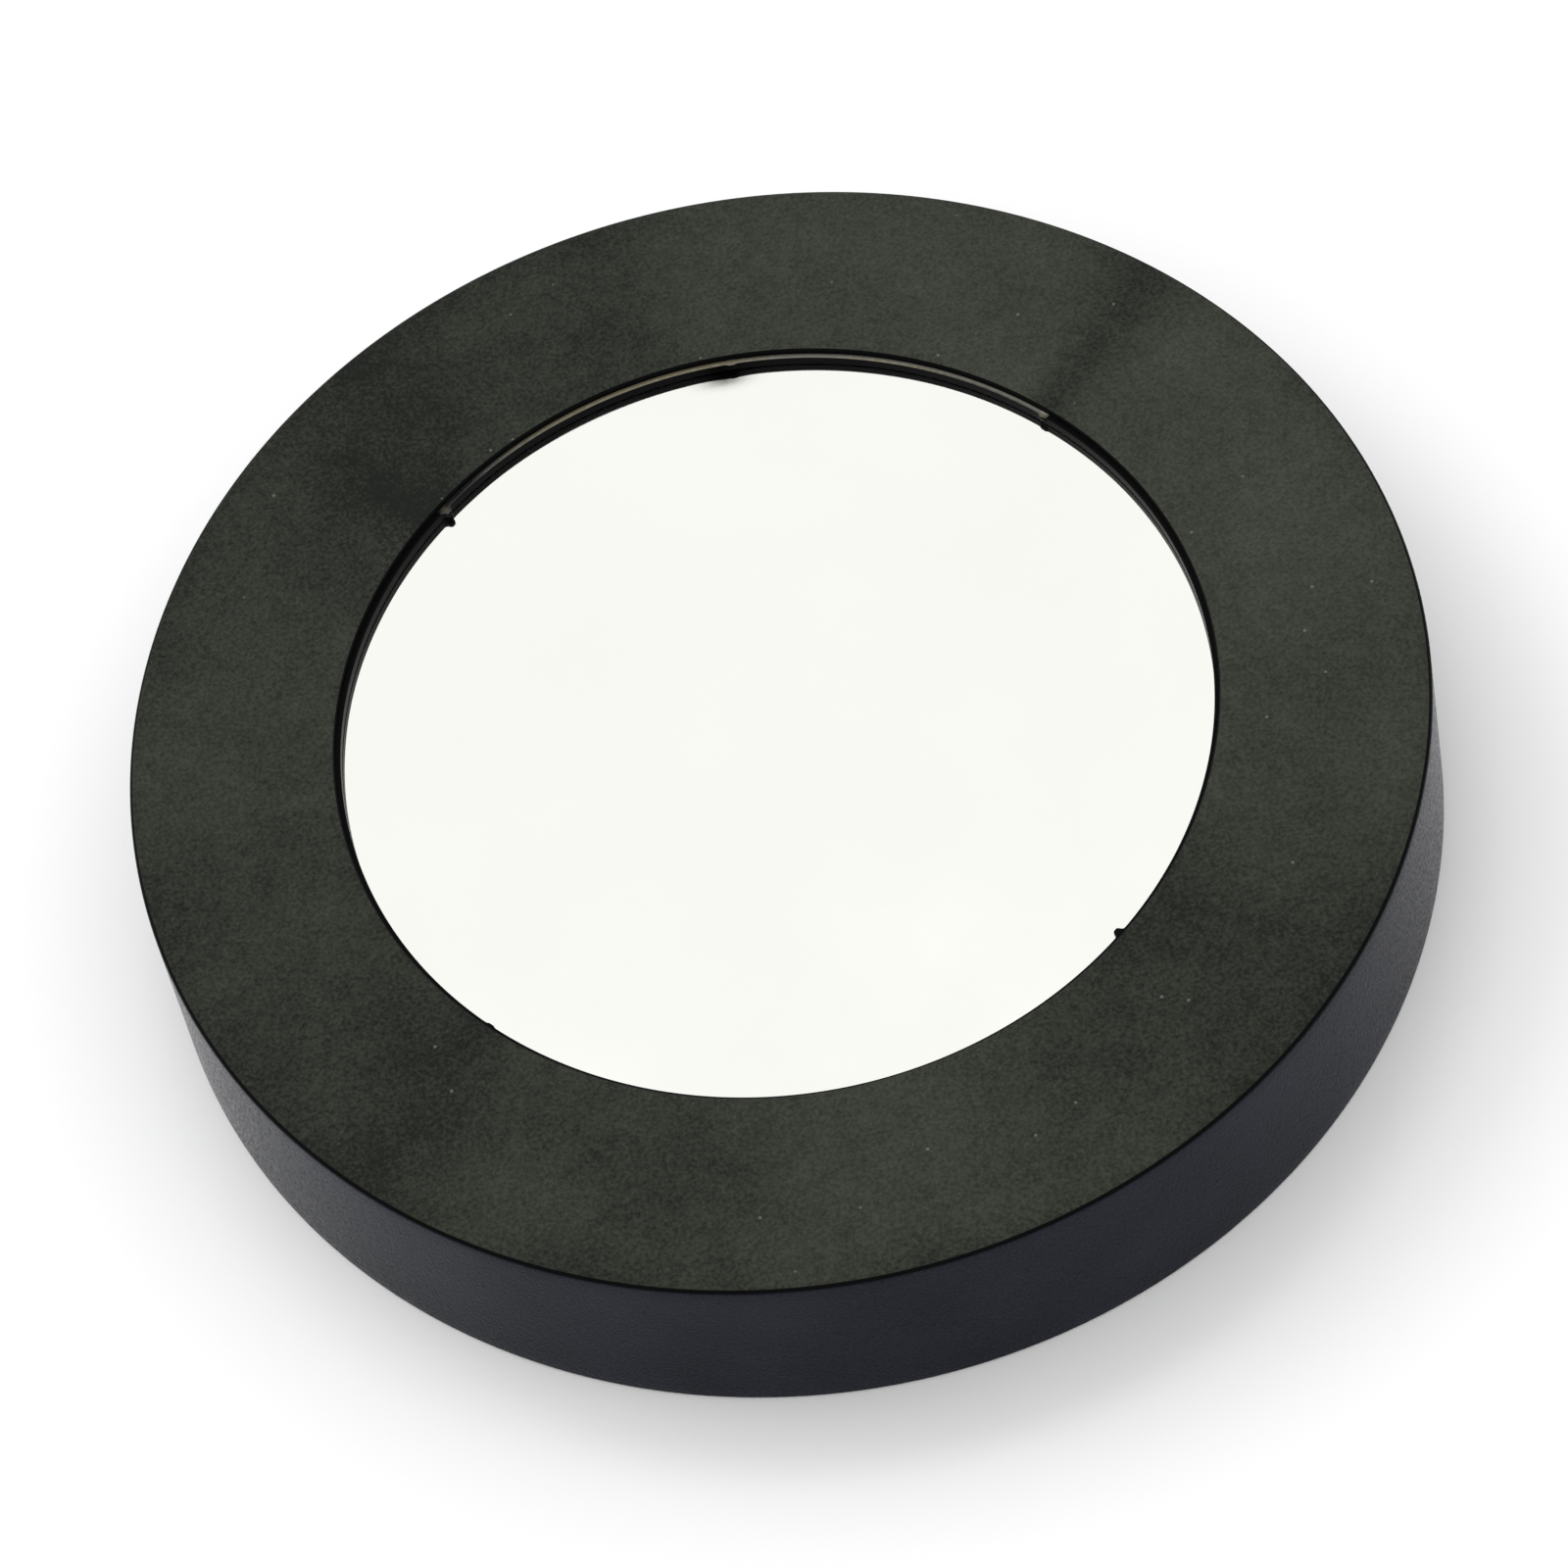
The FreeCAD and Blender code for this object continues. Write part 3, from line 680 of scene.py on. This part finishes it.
def solarFilm():
    # A disc whose two faces follow the same gentle waves, wave x the mean of sin(kx x + ky y + phase), held
    # flat where it is clamped, with one small pinch: -depth x exp(-(distance / reach)^2). Beside the pinch
    # the top face is painted dark, a painted reflection of the flash stub:
    # share x exp(-(sideways / reach)^2 - (inward / reach)^2).
    spec = filmSpec
    top, low = filmHigh.z / mm, filmLow.z / mm
    out = spec["radius"] * np.linspace(0, 1, spec["rows"] + 1)[1:]
    angles = np.linspace(0, 2 * math.pi, spec["columns"], endpoint=False)
    r = np.concatenate([out, out[::-1]])[:, None] + 0 * angles
    base = np.concatenate([np.full(len(out), top), np.full(len(out), low)])[:, None]
    x, y = r * np.cos(angles), r * np.sin(angles)
    waves = spec["waves"]
    rise = sum(np.sin(kx * x + ky * y + phase) for kx, ky, phase in waves) / len(waves)
    free = 1 - smoothStep(*spec["clamped"], r)
    degrees, radius, reach, depth = spec["dent"]
    toward = math.radians(degrees)
    away = np.hypot(x - radius * math.cos(toward), y - radius * math.sin(toward))
    pinch = depth * np.exp(-((away / reach) ** 2))
    z = base + free * spec["wave"] * rise - pinch
    mesh = gridSurface("solarFilm", np.stack([x, y, z], axis=-1), capStart=True, capEnd=True)
    degrees, radius, aroundReach, inwardReach, darkShare = spec["darkSmudge"]
    points = np.empty(len(mesh.vertices) * 3)
    mesh.vertices.foreach_get("co", points)
    px, py = points.reshape(-1, 3)[:, :2].T / mm
    inward = np.minimum(np.hypot(px, py) - radius, 0)
    sideways = radius * angleFrom(np.arctan2(py, px), degrees) - spec["smudgeSlant"] * inward
    # the painted dark reflection of the flash stub, on the top face only
    paintedDarkReflection = darkShare * np.exp(-((sideways / aroundReach) ** 2) - (inward / inwardReach) ** 2)
    paintedDarkReflection *= points.reshape(-1, 3)[:, 2] / mm > (top + low) / 2 - spec["dent"][3] * paintedDarkReflection
    smudgeLayer = mesh.attributes.new("paintedDarkReflection", "FLOAT", "POINT")
    smudgeLayer.data.foreach_set("value", paintedDarkReflection.astype(np.float32))
    return mesh


film = metallisedFilm()
placePiece("solarFilm", solarFilm(), "film", [film], "solar_film")
tape = tissueTape()
for node in ("front_tape", "rear_tape"):
    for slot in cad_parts[node].material_slots:
        slot.material = tape
print("film and tape")


# ---- the backing ring and its screws

ringSpec = {
    "bore": 32.4, "spigot": 36.3, "outer": 41.5, "bevel": 1.0, "groove": (34.2, 35.4, 0.4),
    "hole": 1.9, "columns": 480,
    "notch": (2.5, 1.0), "notches": (30, 210),  # half width and depth, and their azimuths
    "notchFade": (1.2, 0.3),  # how far in from the edge a notch starts, and is full
}


def backingRing():
    # A stepped outline turned round the axis. The two pry notches move its edge inward by
    # depth / (1 + (sideways distance / half width)^8).
    spec = ringSpec
    low, high = ringLow.z / mm, ringHigh.z / mm
    shoulder = frontZ - capSpec["flange"]
    near, far, deep = spec["groove"]
    corners = [
        (spec["bore"] + spec["bevel"], low, 0.25), (near, low, 0.08), (near, low + deep, 0.08),
        (far, low + deep, 0.08), (far, low, 0.08), (spec["outer"], low, 0.3), (spec["outer"], shoulder, 0.1),
        (spec["spigot"], shoulder, 0.05), (spec["spigot"], high, 0.1), (spec["bore"], high, 0.05),
        (spec["bore"], low + spec["bevel"], 0.3),
    ]
    outline = roundedOutline(corners, 1.0)
    azimuths = np.linspace(0, 2 * math.pi, spec["columns"], endpoint=False)
    r = outline[:, 0][:, None] + 0 * azimuths
    z = outline[:, 1][:, None] + 0 * azimuths
    half, depth = spec["notch"]
    notch = np.zeros_like(r)
    for degrees in spec["notches"]:
        sideways = spec["outer"] * angleFrom(azimuths, degrees)
        notch += depth / (1 + (sideways / half) ** 8)
    start, full = spec["notchFade"]
    r = r - notch * smoothStep(spec["outer"] - start, spec["outer"] - full, r)
    grid = np.stack([r * np.cos(azimuths), r * np.sin(azimuths), z], axis=-1)
    mesh = gridSurface("backingRing", grid, closeRows=True)
    return drillRing(mesh, low, high)


def drillRing(mesh, low, high):
    # Cuts the six boss holes with plain cylinders. Their corners are turned off the ring's own grid lines, so
    # that no sliver is left where two corners would meet.
    spec = bossSpec
    ring = bpy.data.objects.new("ringBlank", mesh)
    scene.collection.objects.link(ring)
    drills = []
    u = np.linspace(0, 2 * math.pi, spec["drillColumns"], endpoint=False) + spec["holeTurn"]
    heights = np.array([low - 1, high + 1])
    tube = turnedGrid(np.stack([np.full(2, ringSpec["hole"]), heights], axis=-1), u)
    for k in range(spec["count"]):
        angle = 2 * math.pi * k / spec["count"]
        place = np.array([math.cos(angle), math.sin(angle), 0]) * spec["circle"]
        drill = bpy.data.objects.new(
            f"drill{k}", gridSurface(f"drill{k}", tube + place, capStart=True, capEnd=True)
        )
        scene.collection.objects.link(drill)
        drills.append(drill)
        cut = ring.modifiers.new("drill", "BOOLEAN")
        cut.operation = "DIFFERENCE"
        cut.solver = "EXACT"
        cut.object = drill
    bpy.context.view_layer.update()
    done = ring.evaluated_get(bpy.context.evaluated_depsgraph_get())
    drilled = bpy.data.meshes.new_from_object(done)
    for thing in [ring] + drills:
        bpy.data.objects.remove(thing)
    drilled.name = "backingRing"
    return drilled


screwSpec = {
    "washer": 2.4, "washerThick": 0.4, "head": 1.8, "headHeight": 1.4, "dome": 0.55,
    "thread": 1.0, "root": 0.78, "pitch": 0.8, "shank": 3.0,
    "recessSpan": 2.0, "recessWidth": 0.5, "recessDepth": 0.8,
    "recessSlope": (0.09, 0.1),  # mm that its sides and its ends take
    "recessRise": 0.25,  # share by which it gets shallower for each mm out
    "point": (0.4, 0.45),  # radius and length of the tip
    "columns": 96,
    "turn": 37,  # degrees by which each screw stopped further round than the last
}


def clampScrew(number):
    # Rings of points from the middle of the head, over the dome, the washer face and the thread, to the tip.
    # The dome falls by dome x (r / head)^2.4. The cross recess sinks where |x| or |y| is under half a width.
    # The thread's radius is root + (thread - root) x (1 - |2 f - 1|)^0.8, where f is the share of a pitch.
    spec = screwSpec
    u = np.linspace(0, 2 * math.pi, spec["columns"], endpoint=False)[None, :]
    seat = ringLow.z / mm
    crown = seat - spec["headHeight"]
    fine, plain = np.linspace(0.02, 1.25, 34), np.linspace(1.3, spec["head"] - 0.06, 10)
    rHead = np.concatenate([fine, plain])[:, None]
    x, y = rHead * np.cos(u), rHead * np.sin(u)
    half, reach = spec["recessWidth"] / 2, spec["recessSpan"] / 2
    wall, end = spec["recessSlope"]
    armX, armY = (
        (1 - smoothStep(half, half + wall, across)) * (1 - smoothStep(reach - end, reach, along))
        for across, along in ((np.abs(y), np.abs(x)), (np.abs(x), np.abs(y)))
    )
    sunk = spec["recessDepth"] * np.maximum(armX, armY) * (1 - spec["recessRise"] * rHead)
    zHead = crown + spec["dome"] * (rHead / spec["head"]) ** 2.4 + sunk
    shelf, shoulder = seat - spec["washerThick"], crown + spec["dome"]
    side = np.array(  # radius and height down the head's side, over the washer face and back to the thread
        [
            (spec["head"] - 0.015, shoulder - 0.02), (spec["head"], shoulder + 0.08),
            (spec["head"], shelf - 0.05), (spec["head"] + 0.05, shelf),
            (spec["washer"] - 0.1, shelf + 0.04), (spec["washer"], seat - 0.28),
            (spec["washer"], seat - 0.06), (spec["washer"] - 0.06, seat), (spec["thread"] + 0.1, seat),
            (spec["root"], seat + 0.1),
        ]
    )
    zThread = np.linspace(seat + 0.15, seat + spec["shank"] - 0.5, 60)[:, None]
    f = ((zThread - seat) / spec["pitch"] - u / (2 * math.pi)) % 1
    ends = smoothStep(seat + 0.1, seat + 0.5, zThread)
    rThread = spec["root"] + (spec["thread"] - spec["root"]) * ends * (1 - np.abs(2 * f - 1)) ** 0.8
    blunt, taper = spec["point"]
    tip = np.array([(spec["root"], seat + spec["shank"] - taper), (blunt, seat + spec["shank"])])
    ones = np.ones_like(u)
    r = np.vstack([rHead * ones, side[:, :1] * ones, rThread, tip[:, :1] * ones])
    z = np.vstack([zHead, side[:, 1:] * ones, zThread * ones, tip[:, 1:] * ones])
    spin = math.radians(spec["turn"] * number)
    angle = 2 * math.pi * (number - 1) / bossSpec["count"]
    centre = np.array([math.cos(angle), math.sin(angle), 0]) * bossSpec["circle"]
    grid = np.stack([r * np.cos(u + spin), r * np.sin(u + spin), z], axis=-1) + centre
    return gridSurface(f"clampScrew{number}", grid, capStart=True, capEnd=True)


ringPlastic = absPlain("absMouldedRing", "#121214", 0.4, 0.4, 0.35, 0.008)
placePiece("backingRing", backingRing(), "backing_plastic", [ringPlastic], "backing_ring", sharp=40)
zinc = blackZinc()
for number in range(1, bossSpec["count"] + 1):
    placePiece(f"clampScrew{number}", clampScrew(number), "screw", [zinc], f"clamp_screw_{number}", sharp=50)
print("backing ring and screws")


# ---- the felt

feltSpec = {
    "bore": 44.0, "gap": 2.0, "seam": 205.0, "rows": 900, "corner": 0.28, "tuft": 0.035, "waver": 0.02,
}


def gripFelt(spec):
    # A strip bent round the inside of the skirt: its section, a rectangle whose back leans with the skirt,
    # is carried round the axis from one side of the seam to the other. Its lower edge is straight, its upper
    # one wavers as the sum of three sines, and its face rises and falls as the sum of two crossed sines.
    low, high = feltLow.z / mm, feltHigh.z / mm
    draft = (capSpec["rimRadius"] - capSpec["frontRadius"]) / frontZ
    back = capSpec["rimRadius"] - capSpec["wall"]
    corner = spec["corner"]
    section = roundedOutline(
        [(spec["bore"], low, corner), (back - draft * low, low, corner), (back - draft * high, high, corner),
         (spec["bore"], high, corner)], 0.5, math.pi / 8)
    start = math.radians(spec["seam"] + spec["gap"] / 2)
    sweep = math.radians(360 - spec["gap"])
    a = start + sweep * np.linspace(0, 1, spec["rows"])[:, None]
    waver = spec["waver"] * (np.sin(47 * a) + np.sin(83 * a + 1.0) + np.sin(131 * a + 2.0))
    r = section[:, 0][None, :] + 0 * a
    z = section[:, 1][None, :] + waver * (section[:, 1][None, :] > (low + high) / 2)
    coarse = np.sin(211 * a + 3.1 * z) * np.sin(4.7 * z + 37 * a)
    fine = np.sin(367 * a - 5.3 * z) * np.sin(2.9 * z - 53 * a)
    r = r + spec["tuft"] * (coarse + fine) * (r < spec["bore"] + 2 * hair)
    grid = np.stack([r * np.cos(a), r * np.sin(a), np.minimum(z, high)], axis=-1)
    return gridSurface("gripFelt", grid, capStart=True, capEnd=True)


placePiece("gripFelt", gripFelt(feltSpec), "felt", [needledFelt()], "grip_felt", sharp=60)
print("felt")


# ---- floor, lights and camera

floorSpec = {"half": 4.0, "drop": 0.02, "cloud": 1000 / 3}  # half width in metres, the others in mm


def studioFloor():
    # a wide sheet of plain card, a hair below the rim, so that the two faces don't lie in one plane
    half, low = floorSpec["half"], -floorSpec["drop"] * mm
    mesh = bpy.data.meshes.new("floor")
    mesh.from_pydata(
        [(-half, -half, low), (half, -half, low), (half, half, low), (-half, half, low)], [], [(0, 1, 2, 3)]
    )
    material, tree, shader, place = newMaterial("paleCard", {"Roughness": 0.9, "Specular IOR Level": 0.0})
    tone = noise(tree, place, floorSpec["cloud"], 2.0)
    pulp = blend(tree, tone, linearColour("#F3F3F3"), linearColour("#F6F6F6"))
    connect(tree, shader, {"Base Color": pulp})
    mesh.materials.append(material)
    floor = bpy.data.objects.new("floor", mesh)
    scene.collection.objects.link(floor)


lightSpec = {
    "world": 1.0,
    # name: middle in metres, size in metres, brightness of its face, seen in reflections
    "panels": {
        "ledgeStrip": ((-0.03, 0.29, 0.78), (0.34, 0.13), 5.0, True),
        "leftKey": ((-0.75, 0.55, 0.95), (0.7, 0.7), 2.5, False),
    },
}


def softPanel(name, middle, size, brightness, inReflections):
    # A rectangle that faces the cap's front. A face of brightness L and area A needs pi x A x L watts.
    light = bpy.data.lights.new(name, "AREA")
    light.shape = "RECTANGLE"
    light.size, light.size_y = size
    light.energy = math.pi * size[0] * size[1] * brightness
    lamp = bpy.data.objects.new(name, light)
    lamp.location = middle
    aim = Vector((0, 0, capHigh.z)) - Vector(middle)
    lamp.rotation_euler = aim.to_track_quat("-Z", "Y").to_euler()
    lamp.visible_glossy = inReflections
    scene.collection.objects.link(lamp)


def studioLight():
    world = bpy.data.worlds.new("studio")
    world.use_nodes = True
    background = world.node_tree.nodes["Background"]
    background.inputs["Color"].default_value = (1, 1, 1, 1)
    background.inputs["Strength"].default_value = lightSpec["world"]
    scene.world = world
    for name, (middle, size, brightness, inReflections) in lightSpec["panels"].items():
        softPanel(name, middle, size, brightness, inReflections)


cameraSpec = {  # lens and places in mm, angles in degrees
    "lens": 131.2, "sensor": 36, "distance": 422.3, "elevation": 56.774, "roll": 12.970,
    "aside": -1.082, "above": 2.676,
}


def studioCamera():
    # The camera stands off along its own axis, and a little aside and above the origin in its own view.
    spec = cameraSpec
    data = bpy.data.cameras.new("camera")
    data.lens = spec["lens"]
    data.sensor_width = spec["sensor"]
    camera = bpy.data.objects.new("camera", data)
    turn = Matrix.Rotation(math.radians(90 - spec["elevation"]), 3, "X")
    turn = turn @ Matrix.Rotation(math.radians(-spec["roll"]), 3, "Z")
    place = turn @ Vector((spec["aside"], spec["above"], spec["distance"])) * mm
    camera.matrix_world = Matrix.Translation(place) @ turn.to_4x4()
    scene.collection.objects.link(camera)
    scene.camera = camera


studioFloor()
studioLight()
studioCamera()
print("stage")
